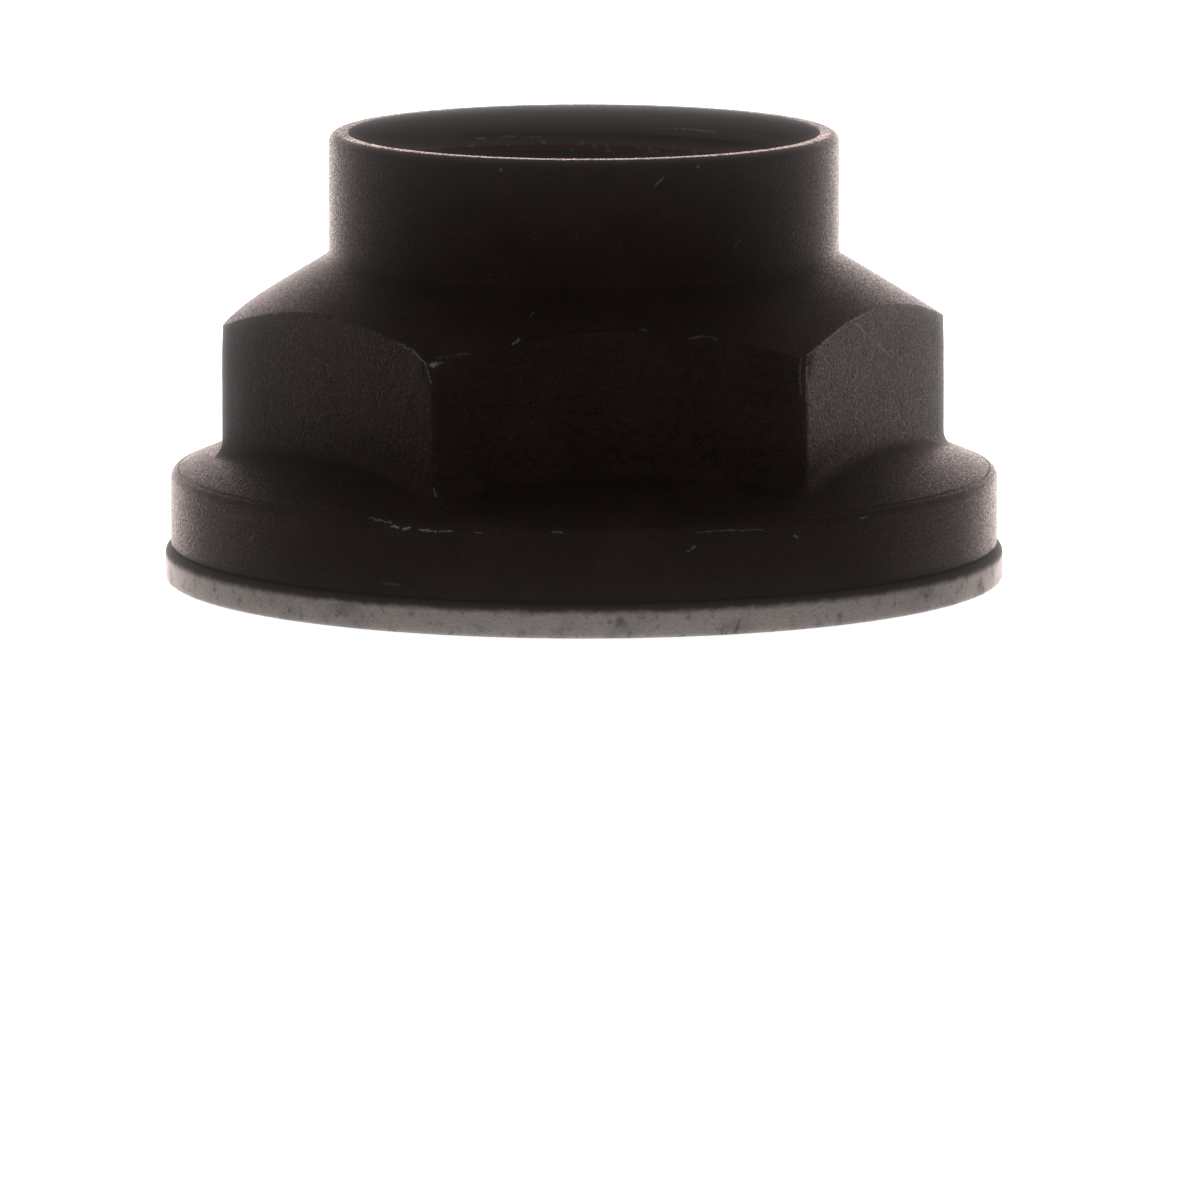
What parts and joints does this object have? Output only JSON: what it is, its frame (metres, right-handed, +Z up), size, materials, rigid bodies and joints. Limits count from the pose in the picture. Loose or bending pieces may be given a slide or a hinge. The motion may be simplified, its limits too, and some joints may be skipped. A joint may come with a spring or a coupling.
{
  "type": "flanged spindle nut with captive washer",
  "caption": "Flanged hexagon spindle nut with a thin round staking collar on top, a threaded bore, and a flat washer held captive under its flange.",
  "frame": {"origin": "centre of the washer's lower face, on the thread axis", "axes": "+Z up the thread axis from the washer to the staking collar, +X through a corner of the hexagon"},
  "size_m": [0.0478, 0.0478, 0.0255],
  "materials": {
    "black_steel": "black phosphate on forged and turned steel, satin",
    "grey_steel": "bare grey steel with a dull worn surface"
  },
  "bodies": {
    "nut": {"nut_body": "black_steel"},
    "washer": {"washer": "grey_steel"}
  },
  "joints": [
    {"name": "washer_spin", "type": "hinge", "parent": "nut", "child": "washer", "pos_m": [0, 0, 0], "axis": [0, 0, 1], "continuous": true}
  ]
}
